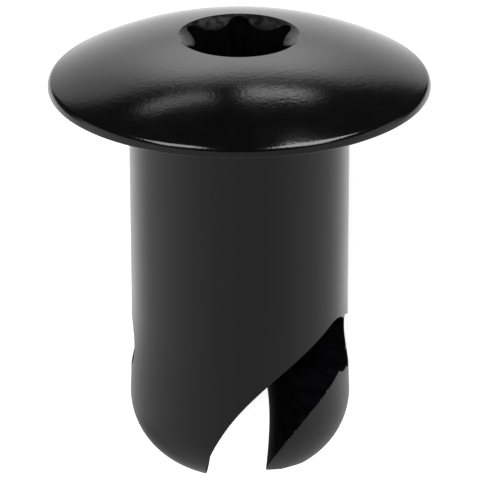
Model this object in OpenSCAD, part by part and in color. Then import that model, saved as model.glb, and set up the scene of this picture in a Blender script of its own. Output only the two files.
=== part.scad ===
// Quarter-turn fastener stud, lying at rest on its head rim and on the two lips of its cam slot.
// Turned from one bar: domed head with a six-lobe recess, plain shank, and a round end
// that a spiral cam slot cuts from side to side. Sizes are in millimetres and degrees.

/* [Shank] */
// Diameter of the plain shank
shank_d = 11.11; // [9:0.01:13]
// Length from the underside of the head to the tip
shank_l = 20.68; // [18.5:0.02:26]
// Fillet between the shank and the underside of the head
neck_fillet = 0.25; // [0.1:0.05:0.8]

/* [Head] */
// Diameter of the head
head_d = 19.22; // [16:0.02:24]
// Height of the straight rim round the head
rim_h = 0.4; // [0.4:0.01:1.5]
// Height of the dome above the rim
dome_h = 2.54; // [1.8:0.02:4.5]
// Rounding from the dome over into the rim
brow_round = 0.45; // [0.05:0.01:0.45]
// Rounding of the lower edge of the rim
rim_round = 0.12; // [0.04:0.01:0.12]

/* [Drive recess] */
// Diameter across the tips of the six lobes
lobe_d = 5.9; // [5:0.05:7]
// Diameter across the six ribs between the lobes
rib_d = 4.4; // [3.6:0.05:4.6]
// Radius of the tip of a lobe
lobe_tip = 0.48; // [0.3:0.01:0.6]
// Diameter of the countersunk mouth on the dome
mouth_d = 6.12; // [5.4:0.02:8]
// Full angle of the countersink
mouth_angle = 125; // [90:1:130]
// Depth of the lobes below the mouth
recess_depth = 3; // [2:0.1:4]
// Full angle of the drill point at the bottom of the recess
drill_angle = 130; // [110:1:150]

/* [Cam end] */
// Amount by which the cam end swells beyond the shank, on the radius
end_swell = 0.12; // [0.05:0.005:0.5]
// Rounding of the tip
end_round = 3.85; // [2.5:0.05:4.7]
// Depth below the head at which the cam end starts to swell
swell_depth = 11.4; // [6:0.1:13]

/* [Cam slot] */
// Width of the slot, which is the diameter of the cutter that makes it
slot_w = 3.05; // [2:0.05:3.6]
// Angle at which the slot leaves the tip
entry_angle = -4.2; // [-10:0.1:10]
// Turn of the slot before the ramp bends over
lead_angle = 2.9; // [1:0.1:8]
// Angle of the top of the ramp
crest_angle = 61.8; // [56:0.1:70]
// Depth of the top of the ramp below the head
crest_depth = 13.25; // [10:0.05:14.5]
// Height over which the ramp bends over below its top
ramp_drop = 2.65; // [1.4:0.05:3]
// Angle of the seat in which the slot ends
seat_angle = 88.2; // [84:0.1:92]
// Drop from the top of the ramp to the seat
seat_drop = 0.65; // [0.3:0.05:0.9]

/* [Hidden] */
$fn = 96;
black_anodised = [0.09, 0.09, 0.095];

// Depth by which a cutting shape stands proud of what it cuts
past = 1;
// Stations along the slot, and steps from the axis to the outside of the cutter
slot_stations = 26;
slot_steps = 8;
// Steps in each sixth of the recess outline
lobe_steps = 12;
// Growth of the drilled ends of the slot, so that each swallows the end of the milled part
drill_over = 0.01;

shank_r = shank_d / 2;
head_r = head_d / 2;
end_r = shank_r + end_swell;
mouth_r = mouth_d / 2;
slot_r = slot_w / 2;

// Sphere of the dome, from the rim's diameter and the dome's height
dome_r = (head_r * head_r + dome_h * dome_h) / (2 * dome_h);
dome_z = rim_h + dome_h - dome_r;
mouth_z = dome_z + sqrt(dome_r * dome_r - mouth_r * mouth_r);

// Centre of the round between the rim and the dome
brow_x = head_r - brow_round;
brow_z = dome_z + sqrt(pow(dome_r - brow_round, 2) - brow_x * brow_x);
brow_slope = atan2(brow_x, brow_z - dome_z);
// Round of the rim's lower edge, which stops below the one above it
edge_r = min(rim_round, 0.95 * brow_z);

// Centre of the round of the tip
tip_x = end_r - end_round;
tip_z = end_round - shank_l;
// Radius of the arc along which the cam end swells from the shank to the tip
swell_l = -tip_z - swell_depth;
swell_arc = (swell_l * swell_l + end_swell * end_swell) / (2 * end_swell);

// Quadratic curve through two ends with one guide between them, and its rate of change
function curve(a, b, c, q) = (1 - q) * (1 - q) * a + 2 * q * (1 - q) * b + q * q * c;
function curve_rate(a, b, c, q) = 2 * (1 - q) * (b - a) + 2 * q * (c - b);

// Centre line of the slot: q runs from 0 at the tip to 1 at the top of the ramp
slot_start = shank_l - slot_r / 5;
guide_depth = crest_depth + ramp_drop;
seat_depth = crest_depth + seat_drop;
function slot_angle(q) = curve(entry_angle, entry_angle + lead_angle, crest_angle, q);
function slot_depth(q) = curve(slot_start, guide_depth, crest_depth, q);
function slot_turn(q) = curve_rate(entry_angle, entry_angle + lead_angle, crest_angle, q) * PI / 180;
function slot_rise(q) = -curve_rate(slot_start, guide_depth, crest_depth, q);

// Point on a wall of the slot: the line along which the round cutter touches that wall.
// rho runs along the cutter, and side is 1 for the lower wall and -1 for the upper one.
function wall_point(q, rho, side, depth) =
    let (
        angle = slot_angle(q),
        lean = rho * slot_turn(q) / slot_rise(q),
        size = sqrt(1 + lean * lean),
        across = side * slot_r / size,
        up = -side * slot_r * lean / size
    )
    [
        rho * cos(angle) - across * sin(angle),
        rho * sin(angle) + across * cos(angle),
        up - depth
    ];

// Distance along the cutter at step j, closer together near the axis where the walls twist most
cutter_reach = end_r + past;
function cutter_rho(j) = sign(j) * cutter_reach * pow(abs(j) / slot_steps, 1.5);

// Pose at rest. Where the tip touches the ground, the slot's opening faces straight down, so the
// stud stands on the two lips there and on the lower edge of its rim.
function halve(low, high, left, lip) =
    left == 0 ? (low + high) / 2 :
    let (mid = (low + high) / 2)
    rim_reach(mid) > tip_reach(mid, lip) ? halve(mid, high, left - 1, lip) : halve(low, mid, left - 1, lip);
// Reach of the rim and of the tip towards the ground at a tilt, with the lips at an angle to each side
function rim_reach(tilt) = (head_r - edge_r) * cos(tilt) - edge_r * sin(tilt) + edge_r;
function tip_reach(tilt, lip) =
    tip_x * cos(lip) * cos(tilt) - tip_z * sin(tilt)
    + end_round * norm([cos(lip) * cos(tilt), sin(tilt)]);
// Point of the slot's centre line that lies at a depth
function slot_at(depth, low = 0, high = 1, left = 30) =
    left == 0 ? (low + high) / 2 :
    let (mid = (low + high) / 2)
    slot_depth(mid) > depth ? slot_at(depth, mid, high, left - 1) : slot_at(depth, low, mid, left - 1);
first_lip = asin(slot_r / end_r);
first_tilt = halve(0, 45, 40, first_lip);
rest_q = slot_at(end_round * sin(first_tilt) - tip_z);
// The lips slant, so each touches between the roundness across the tip and that along it
rest_lean = end_r * slot_turn(rest_q) / slot_rise(rest_q);
rest_round = (end_r + end_round * rest_lean * rest_lean) / (1 + rest_lean * rest_lean);
lip = asin(slot_r / sqrt(end_r * rest_round));
tilt = halve(0, 45, 40, lip);
roll = -90 - slot_angle(rest_q);
rest_height = rim_reach(tilt);
// Middle of the lying stud between its dome and its tip
front_y = dome_z * cos(tilt) + dome_r;
back_y = tip_z * cos(tilt) - tip_x * sin(tilt) - end_round;
rest_y = -(front_y + back_y) / 2;

// Radius of the recess outline at an angle from the middle of a lobe, up to 30 degrees
lobe_x = lobe_d / 2 - lobe_tip;
rib_x = rib_d / 2;
rib_round = (lobe_x * lobe_x + rib_x * rib_x - 2 * lobe_x * rib_x * cos(30) - lobe_tip * lobe_tip)
    / (2 * lobe_tip + 2 * lobe_x * cos(30) - rib_d);
rib_centre = rib_x + rib_round;
// Angle at which the tip of a lobe runs into the rib beside it
join = (lobe_x * rib_round + rib_centre * lobe_tip * cos(30)) / (lobe_tip + rib_round);
join_angle = atan2(rib_centre * sin(30) * lobe_tip / (lobe_tip + rib_round), join);
function lobe_radius(a) =
    a < join_angle
    ? lobe_x * cos(a) + sqrt(lobe_tip * lobe_tip - pow(lobe_x * sin(a), 2))
    : rib_centre * cos(30 - a) - sqrt(rib_round * rib_round - pow(rib_centre * sin(30 - a), 2));
function lobe_at(a) = let (b = abs(a - 60 * round(a / 60))) lobe_radius(b) * [cos(a), sin(a)];

// Half outline of the turned body, with the axis on the left
module turned_outline() {
    difference() {
        intersection() {
            polygon([
                [0, -shank_l],
                [end_r, -shank_l],
                [end_r, -swell_depth],
                [shank_r, -swell_depth],
                [shank_r, -neck_fillet],
                [shank_r + neck_fillet, 0],
                [head_r, 0],
                [head_r, rim_h + dome_h],
                [0, rim_h + dome_h]
            ]);
            translate([0, dome_z]) circle(r = dome_r);
        }
        // Round between the rim and the dome
        difference() {
            polygon([
                [brow_x, brow_z],
                [head_r + brow_round, brow_z],
                [head_r + brow_round, brow_z + brow_round * 2],
                [brow_x + 2 * brow_round * sin(brow_slope), brow_z + 2 * brow_round * cos(brow_slope)]
            ]);
            translate([brow_x, brow_z]) circle(r = brow_round);
        }
        // Round between the rim and the underside
        difference() {
            translate([head_r - edge_r, -edge_r]) square(2 * edge_r);
            translate([head_r - edge_r, edge_r]) circle(r = edge_r);
        }
        // Hollow of the fillet under the head
        translate([shank_r + neck_fillet, -neck_fillet]) circle(r = neck_fillet);
        // Hollow sweep from the shank out to the cam end
        intersection() {
            translate([shank_r + swell_arc, -swell_depth]) circle(r = swell_arc);
            translate([shank_r, tip_z]) square([2 * end_swell, swell_l]);
        }
        // Round of the tip
        difference() {
            translate([tip_x, -shank_l - past]) square([2 * end_round, end_round + past]);
            translate([tip_x, tip_z]) circle(r = end_round);
        }
    }
}

// Six-lobe recess with its countersink and the drill point below it
module drive_recess() {
    floor_z = mouth_z - recess_depth;
    sink_h = (mouth_r + past) / tan(mouth_angle / 2);
    point_h = rib_x / tan(drill_angle / 2);
    translate([0, 0, floor_z])
        linear_extrude(recess_depth + dome_h)
            polygon([for (i = [0 : 6 * lobe_steps - 1]) lobe_at(60 * i / lobe_steps)]);
    translate([0, 0, mouth_z + past / tan(mouth_angle / 2) - sink_h])
        cylinder(h = sink_h, r1 = 0, r2 = mouth_r + past);
    translate([0, 0, floor_z - point_h])
        cylinder(h = point_h, r1 = 0, r2 = rib_x);
}

// Hole straight across the axis, at an angle and a depth
module cross_hole(angle, depth, r) {
    rotate([0, 0, angle])
        translate([0, 0, -depth])
            rotate([0, 90, 0])
                cylinder(h = 2 * cutter_reach, r = r, center = true);
}

// Spiral slot: the room swept by a round cutter that lies across the axis, rises and turns
module cam_slot() {
    stations = concat([[0, shank_l + past]],
        [for (i = [0 : slot_stations]) let (q = i / slot_stations) [q, slot_depth(q)]]);
    last = len(stations) - 1;
    row = 2 * slot_steps + 1;
    points = [
        for (s = stations, side = [1, -1], j = [-slot_steps : slot_steps])
            wall_point(s[0], cutter_rho(j), side, s[1])
    ];
    // Number of a point: station, wall (0 lower, 1 upper) and step along the cutter
    function at(i, w, j) = (2 * i + w) * row + j;
    function two(a, b, c, d) = [[a, b, c], [a, c, d]];
    faces = [
        for (i = [0 : last - 1], j = [0 : row - 2]) each two(
            at(i, 0, j), at(i, 0, j + 1), at(i + 1, 0, j + 1), at(i + 1, 0, j)),
        for (i = [0 : last - 1], j = [0 : row - 2]) each two(
            at(i, 1, j), at(i + 1, 1, j), at(i + 1, 1, j + 1), at(i, 1, j + 1)),
        for (i = [0 : last - 1]) each two(
            at(i, 1, row - 1), at(i + 1, 1, row - 1), at(i + 1, 0, row - 1), at(i, 0, row - 1)),
        for (i = [0 : last - 1]) each two(
            at(i, 1, 0), at(i, 0, 0), at(i + 1, 0, 0), at(i + 1, 1, 0)),
        for (j = [0 : row - 2]) each two(
            at(0, 1, j), at(0, 1, j + 1), at(0, 0, j + 1), at(0, 0, j)),
        for (j = [0 : row - 2]) each two(
            at(last, 1, j), at(last, 0, j), at(last, 0, j + 1), at(last, 1, j + 1))
    ];
    polyhedron(points, faces);
    // Top of the ramp, the way down from it, and the seat
    cross_hole(crest_angle, crest_depth, slot_r + drill_over);
    cross_hole((crest_angle + seat_angle) / 2, crest_depth + seat_drop / 2, slot_r);
    cross_hole(seat_angle, seat_depth, slot_r);
}

// The stud upright, head up, with its underside at z = 0
module upright_stud() {
    difference() {
        rotate_extrude() turned_outline();
        drive_recess();
        cam_slot();
    }
}

module stud() {
    color(black_anodised)
        translate([0, rest_y, rest_height])
            rotate([tilt - 90, 0, 0])
                rotate([0, 0, roll])
                    upright_stud();
}

stud();
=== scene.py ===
import math

import bpy
from mathutils import Matrix, Vector


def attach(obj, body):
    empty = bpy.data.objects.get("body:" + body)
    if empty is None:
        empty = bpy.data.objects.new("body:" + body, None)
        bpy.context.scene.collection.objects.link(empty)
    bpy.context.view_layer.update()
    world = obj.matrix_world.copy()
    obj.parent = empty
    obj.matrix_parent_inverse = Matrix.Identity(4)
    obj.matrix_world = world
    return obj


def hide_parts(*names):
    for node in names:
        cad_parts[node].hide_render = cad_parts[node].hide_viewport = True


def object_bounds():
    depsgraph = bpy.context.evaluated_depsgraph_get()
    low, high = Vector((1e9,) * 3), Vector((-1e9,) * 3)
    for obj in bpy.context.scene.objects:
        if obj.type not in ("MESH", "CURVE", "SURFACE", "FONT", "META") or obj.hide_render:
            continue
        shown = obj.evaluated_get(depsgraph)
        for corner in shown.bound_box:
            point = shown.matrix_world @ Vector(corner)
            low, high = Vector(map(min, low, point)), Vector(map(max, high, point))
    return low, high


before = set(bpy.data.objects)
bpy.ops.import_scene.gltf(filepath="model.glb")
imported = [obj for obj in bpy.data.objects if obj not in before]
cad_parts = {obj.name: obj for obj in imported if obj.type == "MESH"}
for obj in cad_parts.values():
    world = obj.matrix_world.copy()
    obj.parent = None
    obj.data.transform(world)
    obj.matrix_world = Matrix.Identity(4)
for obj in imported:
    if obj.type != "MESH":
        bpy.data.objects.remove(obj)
cad_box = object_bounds()

# Sizes of the stud in millimetres and degrees, head up, with the underside of the head at z = 0
SHANK_R = 11.11 / 2
SHANK_L = 20.68
NECK_FILLET = 0.25
HEAD_R = 19.22 / 2
RIM_H = 0.4
DOME_H = 2.54
BROW_ROUND = 0.45
RIM_ROUND = 0.12
LOBE_D = 5.9
RIB_D = 4.4
LOBE_TIP = 0.48
MOUTH_R = 6.12 / 2
MOUTH_ANGLE = 125.0
RECESS_DEPTH = 3.0
DRILL_ANGLE = 130.0
END_SWELL = 0.12
END_ROUND = 3.85
SWELL_DEPTH = 11.4
SLOT_W = 3.05
ENTRY_ANGLE = -4.2
LEAD_ANGLE = 2.9
CREST_ANGLE = 61.8
CREST_DEPTH = 13.25
RAMP_DROP = 2.65
SEAT_ANGLE = 88.2
SEAT_DROP = 0.65

END_R = SHANK_R + END_SWELL
SLOT_R = SLOT_W / 2
DOME_R = (HEAD_R**2 + DOME_H**2) / (2 * DOME_H)
DOME_Z = RIM_H + DOME_H - DOME_R
MOUTH_Z = DOME_Z + math.sqrt(DOME_R**2 - MOUTH_R**2)
TIP_X = END_R - END_ROUND
TIP_Z = END_ROUND - SHANK_L

# How fine the mesh is, and how far a cutting tool stands past what it cuts
ROUND_SIDES = 192
HOLE_SIDES = 128
SLOT_STATIONS = 64
SLOT_STEPS = 72
LOBE_STEPS = 40
SMOOTH_ANGLE = 20.0
WELD = 0.004
TOOL_PAST = 1.0
REACH = END_R + TOOL_PAST
OVERLAP = 0.01
DRILL_INSET = 0.06
CROWN_R = 0.5
UNDERSIDE_RING = 1.2

# The worn corner of one prong: lean of each trimming face, its place across and its height, as the camera sees them
TIP_TRIMS = ((0.5, 1.42, -19.5), (13.0, 2.5, -19.408))
TRIM_SIZE = 8
TRIM_RIGHT = 2.8
TRIM_AHEAD = 5.1

# The way the stud lies: turned about its axis, tilted down onto the lips of its slot, then placed
ROLL = -93.6855
TILT = 13.4443
REST_Y = 8.62534
REST_Z = 9.32204
METRES = 0.001
LYING = (
    Matrix.Scale(METRES, 4)
    @ Matrix.Translation((0, REST_Y, REST_Z))
    @ Matrix.Rotation(math.radians(TILT - 90), 4, "X")
    @ Matrix.Rotation(math.radians(ROLL), 4, "Z")
)
# The same for the photograph's own frame: x right, y away from the camera, z towards the head
FACING = Matrix.Rotation(math.radians(TILT - 90), 4, "X") @ Matrix.Rotation(math.radians(ROLL + 90), 4, "Z")

# The photograph's camera in millimetres and degrees, with its focal length in pixels of the picture
CAMERA_RISE = 23.875
CAMERA_LEAN = -0.14
CAMERA_AWAY = 190
CAMERA_RIGHT = 0.02
CAMERA_UP = -7.75
FOCAL_PX = 3788.98
PICTURE_PX = 480
SENSOR = 36

# Floor and lamps, in metres, with the way to each softbox in the photograph's frame
FLOOR_SIZE = 3.0
FLOOR_GAP = 0.00001
FLOOR_GLOW = 0.64
SOFTBOX_FAR = 0.25
SOFTBOXES = (
    ("left_softbox", (-0.405, -0.21, 0.88), (0.37, 0.48), 5.6),
    ("right_softbox", (0.43, -0.12, 0.89), (0.46, 0.64), 6.2),
)
KEY_PLACE = (-0.10, -0.02, 0.30)
KEY_SIZE = 0.20
KEY_ENERGY = 0.45
# Level of the light tent's walls, from the camera's side (-1) to behind the stud (1)
TENT = (
    (-1, 0.35), (-0.9, 0.378), (-0.75, 0.44), (-0.55, 0.495), (-0.3, 0.6), (0, 0.675), (0.3, 0.85),
    (0.45, 1.0), (0.6, 1.22), (0.72, 1.45), (0.8, 1.5), (0.9, 1.25), (1, 1.0),
)


# Modelling by hand

def start():
    if bpy.context.object and bpy.context.object.mode != "OBJECT":
        bpy.ops.object.mode_set(mode="OBJECT")
    bpy.ops.object.select_all(action="DESELECT")


def edit():
    bpy.ops.object.mode_set(mode="EDIT")


def leave():
    bpy.ops.object.mode_set(mode="OBJECT")
    return bpy.context.object


def pick(test):
    """Selects, in edit mode, the vertices whose place passes the test."""
    bpy.ops.mesh.select_mode(type="VERT")
    bpy.ops.mesh.select_all(action="DESELECT")
    for v in leave().data.vertices:
        v.select = test(v.co)
    edit()


def push_up(dz):
    bpy.ops.mesh.extrude_region_move(TRANSFORM_OT_translate={"value": (0, 0, dz)})


def spread(factor, z):
    bpy.ops.transform.resize(value=(factor, factor, 1), center_override=(0, 0, z))


def swing(degrees):
    bpy.ops.transform.rotate(value=-math.radians(degrees), orient_axis="Z", center_override=(0, 0, 0))


def outward():
    bpy.ops.mesh.select_all(action="SELECT")
    bpy.ops.mesh.normals_make_consistent(inside=False)


def settle():
    """Puts the place and turn of the new object into its mesh."""
    bpy.ops.object.transform_apply(location=True, rotation=True, scale=True)
    return bpy.context.object


def apply(obj, kind, **settings):
    start()
    obj.select_set(True)
    bpy.context.view_layer.objects.active = obj
    mod = obj.modifiers.new(kind.lower(), kind)
    for key, value in settings.items():
        setattr(mod, key, value)
    bpy.ops.object.modifier_apply(modifier=mod.name)


def cut(obj, tool):
    apply(obj, "BOOLEAN", operation="DIFFERENCE", solver="EXACT", object=tool)
    bpy.data.objects.remove(tool)


def arc(cx, cz, r, a0, a1, steps):
    """Points of an arc from angle a0 to a1, with both ends, as (radius, z)."""
    points = []
    for i in range(steps + 1):
        a = math.radians(a0 + (a1 - a0) * i / steps)
        points.append((cx + r * math.cos(a), cz + r * math.sin(a)))
    return points


def turned_outline():
    """Half outline of the turned body from the tip to the crown."""
    swell_l = -TIP_Z - SWELL_DEPTH
    swell_arc = (swell_l**2 + END_SWELL**2) / (2 * END_SWELL)
    sweep = math.degrees(math.asin(swell_l / swell_arc))
    straight = SWELL_DEPTH - NECK_FILLET
    brow_x = HEAD_R - BROW_ROUND
    brow_z = DOME_Z + math.sqrt((DOME_R - BROW_ROUND) ** 2 - brow_x**2)
    edge_r = min(RIM_ROUND, 0.95 * brow_z)
    brow_lean = math.degrees(math.atan2(brow_z - DOME_Z, brow_x))
    crown_lean = math.degrees(math.acos(CROWN_R / DOME_R))
    points = arc(TIP_X, TIP_Z, END_ROUND, -90, 0, steps=28)
    points += arc(SHANK_R + swell_arc, -SWELL_DEPTH, swell_arc, 180 + sweep, 180, steps=16)[1:]
    points += [(SHANK_R, -SWELL_DEPTH + straight * i / 12) for i in range(1, 13)]
    points += arc(SHANK_R + NECK_FILLET, -NECK_FILLET, NECK_FILLET, 180, 90, steps=6)[1:]
    points += [(HEAD_R - edge_r - UNDERSIDE_RING, 0.0)]
    points += arc(HEAD_R - edge_r, edge_r, edge_r, -90, 0, steps=6)
    points += arc(brow_x, brow_z, BROW_ROUND, 0, brow_lean, steps=14)
    points += arc(0, DOME_Z, DOME_R, brow_lean, crown_lean, steps=36)[1:]
    return points


def turned_body():
    """A disc at the tip, raised and spread along the outline."""
    outline = turned_outline()
    r, z = outline[0]
    start()
    bpy.ops.mesh.primitive_circle_add(vertices=ROUND_SIDES, radius=r, fill_type="NGON", location=(0, 0, z))
    settle()
    edit()
    bpy.ops.mesh.select_all(action="SELECT")
    for next_r, next_z in outline[1:]:
        push_up(next_z - z)
        spread(next_r / r, next_z)
        r, z = next_r, next_z
    outward()
    return leave()


def curve(a, b, c, q):
    return (1 - q) ** 2 * a + 2 * q * (1 - q) * b + q * q * c


def slot_path():
    """Angle and depth of the cutter, from below the tip to the crest of the ramp."""
    begin = SHANK_L - SLOT_R / 5
    path = [(ENTRY_ANGLE, SHANK_L + TOOL_PAST)]
    for i in range(SLOT_STATIONS + 1):
        q = i / SLOT_STATIONS
        path.append((
            curve(ENTRY_ANGLE, ENTRY_ANGLE + LEAD_ANGLE, CREST_ANGLE, q),
            curve(begin, CREST_DEPTH + RAMP_DROP, CREST_DEPTH, q),
        ))
    return path


def milled_slot():
    """The swept room of the cutter: a line across the axis, drawn up and turned, then given its width."""
    path = slot_path()
    start()
    bpy.ops.mesh.primitive_plane_add(size=2 * REACH)
    edit()
    pick(lambda co: co.y > 0)
    bpy.ops.mesh.delete(type="VERT")
    bpy.ops.mesh.select_all(action="SELECT")
    bpy.ops.transform.translate(value=(0, REACH, -path[0][1]))
    bpy.ops.mesh.subdivide(number_cuts=SLOT_STEPS - 1)
    bpy.ops.mesh.select_all(action="SELECT")
    swing(path[0][0])
    for (a0, d0), (a1, d1) in zip(path, path[1:]):
        push_up(d0 - d1)
        swing(a1 - a0)
    ribbon = leave()
    apply(ribbon, "SOLIDIFY", thickness=SLOT_W, offset=0, use_even_offset=False)
    edit()
    outward()
    return leave()


def cross_hole(angle, depth, r):
    start()
    bpy.ops.mesh.primitive_cylinder_add(
        vertices=HOLE_SIDES, radius=r, depth=2 * REACH,
        location=(0, 0, -depth), rotation=(0, math.pi / 2, math.radians(angle)))
    return settle()


def lobe_radius(a):
    """Radius of the recess at an angle in degrees from the middle of a lobe, up to 30."""
    lobe_x, rib_x, t = LOBE_D / 2 - LOBE_TIP, RIB_D / 2, LOBE_TIP
    c = math.cos(math.radians(30))
    rib_round = (lobe_x**2 + rib_x**2 - 2 * lobe_x * rib_x * c - t * t) / (2 * t + 2 * lobe_x * c - RIB_D)
    rib_centre = rib_x + rib_round
    join = (lobe_x * rib_round + rib_centre * t * c) / (t + rib_round)
    join_angle = math.degrees(math.atan2(rib_centre * 0.5 * t / (t + rib_round), join))
    if a < join_angle:
        b = math.radians(a)
        return lobe_x * math.cos(b) + math.sqrt(t * t - (lobe_x * math.sin(b)) ** 2)
    b = math.radians(30 - a)
    return rib_centre * math.cos(b) - math.sqrt(rib_round**2 - (rib_centre * math.sin(b)) ** 2)


def lobed_broach():
    """Six-lobe prism: a disc whose points are drawn in or out by sixes and twelves, then raised."""
    floor_z = MOUTH_Z - RECESS_DEPTH
    start()
    bpy.ops.mesh.primitive_circle_add(
        vertices=6 * LOBE_STEPS, radius=1, fill_type="NGON", location=(0, 0, floor_z))
    settle()
    edit()
    for i in range(LOBE_STEPS // 2 + 1):
        a = 60 * i / LOBE_STEPS

        def here(co):
            b = math.degrees(math.atan2(co.y, co.x)) % 60
            return abs(min(b, 60 - b) - a) < 0.01 and math.hypot(co.x, co.y) < 1.001

        pick(here)
        spread(lobe_radius(a), floor_z)
    bpy.ops.mesh.select_all(action="SELECT")
    push_up(RECESS_DEPTH + DOME_H)
    outward()
    return leave()


def cone(r, angle, tip_z):
    """Cone that stands on its tip."""
    h = r / math.tan(math.radians(angle / 2))
    start()
    bpy.ops.mesh.primitive_cone_add(
        vertices=ROUND_SIDES, radius1=0, radius2=r, depth=h, location=(0, 0, tip_z + h / 2))
    return settle()


def sight(lean):
    """Right, ahead and up of the photograph's camera, in the photograph's frame."""
    e, a = math.radians(CAMERA_RISE), math.radians(lean)
    right = Vector((1, 0, 0))
    ahead = Vector((0, math.cos(e), -math.sin(e)))
    up = Vector((0, math.sin(e), math.cos(e)))
    return math.cos(a) * right + math.sin(a) * up, ahead, math.cos(a) * up - math.sin(a) * right


def tip_trim(lean, x, height):
    """A block whose upper face takes the corner off the near end of one prong."""
    right, ahead, up = sight(lean)
    block = Matrix((right, ahead, up)).transposed().to_4x4()
    corner = Vector((x, 0, 0)) + TRIM_AHEAD * ahead + height * sight(0)[2]
    block.translation = corner + TRIM_RIGHT * right - TRIM_SIZE / 2 * up
    start()
    bpy.ops.mesh.primitive_cube_add(size=TRIM_SIZE)
    bpy.context.object.matrix_world = Matrix.Rotation(math.radians(90), 4, "Z") @ block
    return settle()


def make_stud():
    stud = turned_body()
    stud.name = stud.data.name = "turned_stud"
    cut(stud, milled_slot())
    cut(stud, cross_hole(CREST_ANGLE, CREST_DEPTH, SLOT_R + OVERLAP))
    cut(stud, cross_hole((CREST_ANGLE + SEAT_ANGLE) / 2, CREST_DEPTH + SEAT_DROP / 2, SLOT_R))
    cut(stud, cross_hole(SEAT_ANGLE, CREST_DEPTH + SEAT_DROP, SLOT_R))
    for lean, x, height in TIP_TRIMS:
        cut(stud, tip_trim(lean, x, height))
    sink_tip = MOUTH_Z - MOUTH_R / math.tan(math.radians(MOUTH_ANGLE / 2))
    cut(stud, cone(MOUTH_R + TOOL_PAST, MOUTH_ANGLE, sink_tip))
    cut(stud, lobed_broach())
    point_r = RIB_D / 2 - DRILL_INSET
    point_h = point_r / math.tan(math.radians(DRILL_ANGLE / 2))
    cut(stud, cone(point_r, DRILL_ANGLE, MOUTH_Z - RECESS_DEPTH + OVERLAP - point_h))
    edit()
    bpy.ops.mesh.select_all(action="SELECT")
    bpy.ops.mesh.remove_doubles(threshold=WELD)
    outward()
    leave()
    return stud


# Shader maths

class Sum:
    """A socket whose operators add Math nodes."""

    def __init__(self, sheet, socket):
        self.sheet, self.socket = sheet, socket

    def math(self, operation, *values):
        return self.sheet.node("ShaderNodeMath", {"operation": operation}, dict(enumerate(values)))

    def __add__(self, other): return self.math("ADD", self, other)
    def __radd__(self, other): return self.math("ADD", other, self)
    def __sub__(self, other): return self.math("SUBTRACT", self, other)
    def __rsub__(self, other): return self.math("SUBTRACT", other, self)
    def __mul__(self, other): return self.math("MULTIPLY", self, other)
    def __rmul__(self, other): return self.math("MULTIPLY", other, self)
    def __truediv__(self, other): return self.math("DIVIDE", self, other)
    def __pow__(self, other): return self.math("POWER", self, other)
    def root(self): return self.math("SQRT", self)
    def most(self, other): return self.math("MAXIMUM", self, other)
    def least(self, other): return self.math("MINIMUM", self, other)
    def degrees(self): return self.math("DEGREES", self)

    def step(self, low, high):
        """Smooth step from 0 at low to 1 at high."""
        return self.sheet.node(
            "ShaderNodeMapRange", {"interpolation_type": "SMOOTHSTEP", "clamp": True},
            {"Value": self, "From Min": low, "From Max": high, "To Min": 0.0, "To Max": 1.0})

    def band(self, low, high, soft):
        """1 from low to high, with an edge that is soft to both sides."""
        return self.step(low - soft, low + soft) * (1 - self.step(high - soft, high + soft))


class Sheet:
    """A node tree that is filled one node at a time."""

    def __init__(self, tree):
        self.tree = tree
        tree.nodes.clear()

    def node(self, kind, settings, values, out=0):
        n = self.tree.nodes.new(kind)
        for key, value in settings.items():
            if key == "stops":
                ramp = n.color_ramp
                while len(ramp.elements) < len(value):
                    ramp.elements.new(1.0)
                for element, (place, colour) in zip(ramp.elements, value):
                    element.position, element.color = place, colour
            else:
                setattr(n, key, value)
        for key, value in values.items():
            if isinstance(value, Sum):
                self.tree.links.new(value.socket, n.inputs[key])
            else:
                n.inputs[key].default_value = value
        return Sum(self, n.outputs[out]) if n.outputs else n

    def split(self, vector):
        return (self.node("ShaderNodeSeparateXYZ", {}, {"Vector": vector}, axis) for axis in "XYZ")

    def noise(self, place, scale, detail, roughness=0.5):
        return self.node("ShaderNodeTexNoise", {}, {
            "Vector": place, "Scale": scale, "Detail": detail, "Roughness": roughness})

    def blend(self, factor, first, second):
        """A colour that goes from the first at 0 to the second at 1."""
        return self.node("ShaderNodeMix", {"data_type": "RGBA"}, {0: factor, 6: first, 7: second}, 2)


def new_material(name):
    mat = bpy.data.materials.new(name)
    mat.use_nodes = True
    return mat, Sheet(mat.node_tree)


def stud_place(s):
    """Place on the stud in millimetres, head up, from Object coordinates."""
    place = s.node("ShaderNodeTexCoord", {}, {}, "Object")
    turn = LYING.inverted().decompose()[1]
    moved = s.node("ShaderNodeVectorMath", {"operation": "SUBTRACT"}, {0: place, 1: tuple(LYING.translation)})
    return s.node("ShaderNodeMapping", {"vector_type": "POINT"}, {
        "Vector": moved, "Location": (0, 0, 0), "Rotation": tuple(turn.to_euler("XYZ")), "Scale": (1000, 1000, 1000)})


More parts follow.
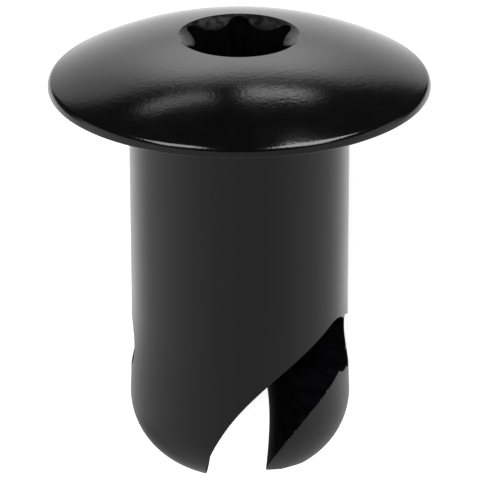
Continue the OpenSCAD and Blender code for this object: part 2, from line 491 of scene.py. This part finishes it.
def black_anodised():
    mat, s = new_material("black_anodised")
    place = stud_place(s)
    x, y, z = s.split(place)
    r = (x * x + y * y).root()
    grain = s.noise(place, 9.0, 4.0, 0.6)
    cloud = s.noise(place, 0.7, 3.0)
    # The head is polished, with a fine orange peel, and the shank is left satin
    head = z.step(-0.06, 0.02)
    peel = s.noise(place, 5.5, 2.0, 0.6)
    # Depth under the turned outside of the shank and the tip: more than nothing on the walls of the slot
    along = ((-SWELL_DEPTH - z) / (-TIP_Z - SWELL_DEPTH)).most(0).least(1)
    from_round = ((r - TIP_X).most(0) ** 2 + (TIP_Z - z).most(0) ** 2).root()
    deep = END_ROUND + END_SWELL * (along * along - 1) - from_round
    low = 1 - z.step(-10, -9.5)
    slot = deep.step(0.03, 0.07) * low
    # Depth under the dome: more than nothing inside the drive recess
    sunk = DOME_R - (r * r + (z - DOME_Z) ** 2).root()
    recess = sunk.step(0.015, 0.04) * z.step(-5, -4) * (1 - r.step(MOUTH_R + 0.05, MOUTH_R + 0.2))
    # The countersink at its mouth is speckled and shinier than the walls below it
    sink = z.step(MOUTH_Z - 0.5, MOUTH_Z - 0.4)
    speck = s.noise(place, 2.4, 1.0).step(0.35, 0.65)
    # Small chips of bare metal along the edge of the slot: partly wear, partly a painted highlight where the edge
    # would glint
    chip_and_glint = deep.band(0.01, 0.07, 0.006) * low * s.noise(place, 2.6, 2.0).step(0.635, 0.665)
    # Rings left by turning, longer round the axis than across it
    rings = s.node("ShaderNodeCombineXYZ", {}, {0: 5 * (r * head + z * (1 - head)), 1: 0.7 * x, 2: 0.7 * y})
    turned = s.noise(rings, 1.0, 3.0, 0.6)
    # The end that turns in the receptacle is rubbed matt
    rubbed = 1 - z.step(-15.5, -10.5)
    rough = 0.28 - 0.16 * head + 0.17 * rubbed + recess * (0.36 - sink * (0.28 - 0.16 * speck))
    rough = rough + 0.06 * (cloud - 0.5) + 0.05 * (grain - 0.5)
    black = s.blend(cloud.step(0.3, 0.7), (0.0007, 0.0007, 0.0008, 1), (0.0014, 0.0014, 0.0015, 1))
    # Painted highlight, partly real wear: light grey bare metal in the chips along the slot's edge
    tone = s.blend(chip_and_glint, black, (0.55, 0.55, 0.56, 1))
    height = turned * (1 + 0.9 * head) + 0.5 * grain + 4.2 * head * peel
    bump = s.node("ShaderNodeBump", {}, {"Strength": 1.0, "Distance": 0.0000012, "Height": height})
    skin = s.node("ShaderNodeBsdfPrincipled", {}, {
        "Base Color": tone, "Roughness": rough, "Metallic": chip_and_glint, "IOR": 1.55, "Normal": bump})
    # The walls of the slot and of the drive recess get a matt near-black that reflects almost nothing, painted shade
    # for their dark inside, with faint marks of the cutter
    marks = s.blend(turned.step(0.35, 0.7), (0.0014, 0.0014, 0.002, 1), (0.0045, 0.0044, 0.0056, 1))
    shaded_wall = s.node("ShaderNodeBsdfPrincipled", {}, {
        "Base Color": marks, "Roughness": 0.6, "Metallic": 0.0, "IOR": 1.55, "Specular IOR Level": 0.004})
    # Painted shade: full inside the slot, most of it inside the recess below its countersink
    wall_shade = slot.most(0.8 * recess * (1 - sink * r.step(2.15, 2.75)))
    both = s.node("ShaderNodeMixShader", {}, {0: wall_shade, 1: skin, 2: shaded_wall})
    s.node("ShaderNodeOutputMaterial", {}, {"Surface": both})
    return mat


stud = make_stud()
stud.matrix_world = LYING
start()
stud.select_set(True)
bpy.context.view_layer.objects.active = stud
settle()
bpy.ops.object.shade_smooth_by_angle(angle=math.radians(SMOOTH_ANGLE))
stud.data.materials.clear()
stud.data.materials.append(black_anodised())
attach(stud, "root")
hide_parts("stud")


# Floor, light and camera

def pale_floor():
    start()
    bpy.ops.mesh.primitive_plane_add(size=FLOOR_SIZE, location=(0, 0, cad_box[0][2] - FLOOR_GAP))
    floor = settle()
    floor.name = "pale_floor"
    mat, s = new_material("pale_paper")
    paper = s.node("ShaderNodeBsdfDiffuse", {}, {"Color": (0.85, 0.85, 0.85, 1)})
    seen = s.node("ShaderNodeLightPath", {}, {}, "Is Camera Ray")
    glow = s.node("ShaderNodeEmission", {}, {"Color": (1, 1, 1, 1), "Strength": FLOOR_GLOW * seen})
    both = s.node("ShaderNodeAddShader", {}, {0: paper, 1: glow})
    s.node("ShaderNodeOutputMaterial", {}, {"Surface": both})
    floor.data.materials.append(mat)
    floor.visible_glossy = False
    floor.visible_shadow = False


def softbox(name, way, size, level):
    """A rectangular lamp that faces the head, with its size as seen from there at a distance of 1."""
    middle = FACING @ Vector((0, 0, 2)) + Vector((0, REST_Y, REST_Z))
    out = FACING @ Vector(way).normalized()
    bpy.ops.object.light_add(type="AREA", location=middle * METRES + SOFTBOX_FAR * out)
    lamp = bpy.context.object
    lamp.name = name
    lamp.data.shape = "RECTANGLE"
    lamp.data.size, lamp.data.size_y = SOFTBOX_FAR * size[0], SOFTBOX_FAR * size[1]
    lamp.data.energy = level * math.pi * lamp.data.size * lamp.data.size_y
    across = FACING @ Vector((1, 0, 0))
    across = (across - across.dot(out) * out).normalized()
    lamp.rotation_euler = Matrix((across, out.cross(across), out)).transposed().to_euler()


def soft_key():
    """A round lamp from above that gives the floor its shadow."""
    bpy.ops.object.light_add(type="AREA", location=KEY_PLACE)
    key = bpy.context.object
    key.name = "soft_key"
    key.data.shape = "DISK"
    key.data.size = KEY_SIZE
    key.data.energy = KEY_ENERGY
    key.visible_glossy = False
    key.rotation_euler = (Vector((0, 0, 0)) - key.location).to_track_quat("-Z", "Y").to_euler()


def light_tent():
    """The world: white to the camera, and a tent of white walls to all that it lights."""
    world = bpy.data.worlds.new("studio")
    bpy.context.scene.world = world
    world.use_nodes = True
    s = Sheet(world.node_tree)
    way = s.node("ShaderNodeTexCoord", {}, {}, "Generated")
    turn = tuple(FACING.inverted().to_euler("XYZ"))
    x, y, z = s.split(s.node("ShaderNodeMapping", {"vector_type": "VECTOR"}, {"Vector": way, "Rotation": turn}))
    side = x.math("ARCTAN2", x, y).degrees()
    rise = z.math("ARCSINE", z).degrees()
    # Walls that are brighter behind than in front, and dim underneath
    stops = [(place / 2 + 0.5, (level / 2, level / 2, level / 2, 1)) for place, level in TENT]
    tone = s.node("ShaderNodeValToRGB", {"stops": stops}, {"Fac": y / 2 + 0.5})
    low = 1 - z.step(0.0, 0.15)
    flank = (1.22 - 0.1 * x.step(-0.3, 0.3)) * (1 - z.step(0.4, 0.62)) * (1 - y.step(0.1, 0.5))
    dim = 0.33 + (0.35 + 0.2 * (1 - x.step(-0.35, -0.15))) * y.step(0.1, 0.6)
    under = (1 - z.step(-0.6, -0.43)) * dim * (1 - 0.5 * x.step(0.0, 0.5))
    wall = 2 * tone * low.most(flank) * (1 - under) * (1 - 0.1 * x.step(0.0, 0.55))
    # The panel that stands higher behind, and two strips of light over it
    bow = side * side
    top = 1 - (rise + bow / 90 + 0.09 * side).step(43.5, 55.5)
    sides = 1 - (0.35 + 0.07 * side.step(-5, 5)) * bow.root().step(10, 30)
    panel = side.band(-33, 26, 4) * sides * top * (1 + 1.3 * rise.step(18, 42) * (1 - bow.step(0, 700)))
    left = 1.7 * side.band(-33, -11, 4) * (rise - 0.23 * side).band(58.9, 62.9, 1.2)
    right = 2.8 * side.band(2, 23, 4) * (rise + bow / 95).band(55.2, 60.2, 1.2)
    shine = wall.most(panel).most(0.04) + left + right
    seen = s.node("ShaderNodeLightPath", {}, {}, "Is Camera Ray")
    back = s.node("ShaderNodeBackground", {}, {"Color": (1, 1, 1, 1), "Strength": seen + (1 - seen) * shine})
    s.node("ShaderNodeOutputWorld", {}, {"Surface": back})


def camera():
    """The photograph's camera: above the lying stud, looking down on its side and a little onto its head."""
    right, ahead, up = sight(0)
    place = -CAMERA_AWAY * ahead + CAMERA_RIGHT * right + CAMERA_UP * up
    right, ahead, up = sight(CAMERA_LEAN)
    local = Matrix((right, up, -ahead)).transposed().to_4x4()
    local.translation = place
    data = bpy.data.cameras.new("photo_camera")
    data.sensor_width = SENSOR
    data.lens = FOCAL_PX / PICTURE_PX * SENSOR
    data.clip_start, data.clip_end = 0.01, 20
    cam = bpy.data.objects.new("photo_camera", data)
    bpy.context.scene.collection.objects.link(cam)
    world = Matrix.Translation((0, REST_Y, REST_Z)) @ FACING @ local
    world.translation *= METRES
    cam.matrix_world = world
    bpy.context.scene.camera = cam


pale_floor()
light_tent()
for name, way, size, level in SOFTBOXES:
    softbox(name, way, size, level)
soft_key()
camera()
bpy.context.scene.view_settings.view_transform = "Standard"
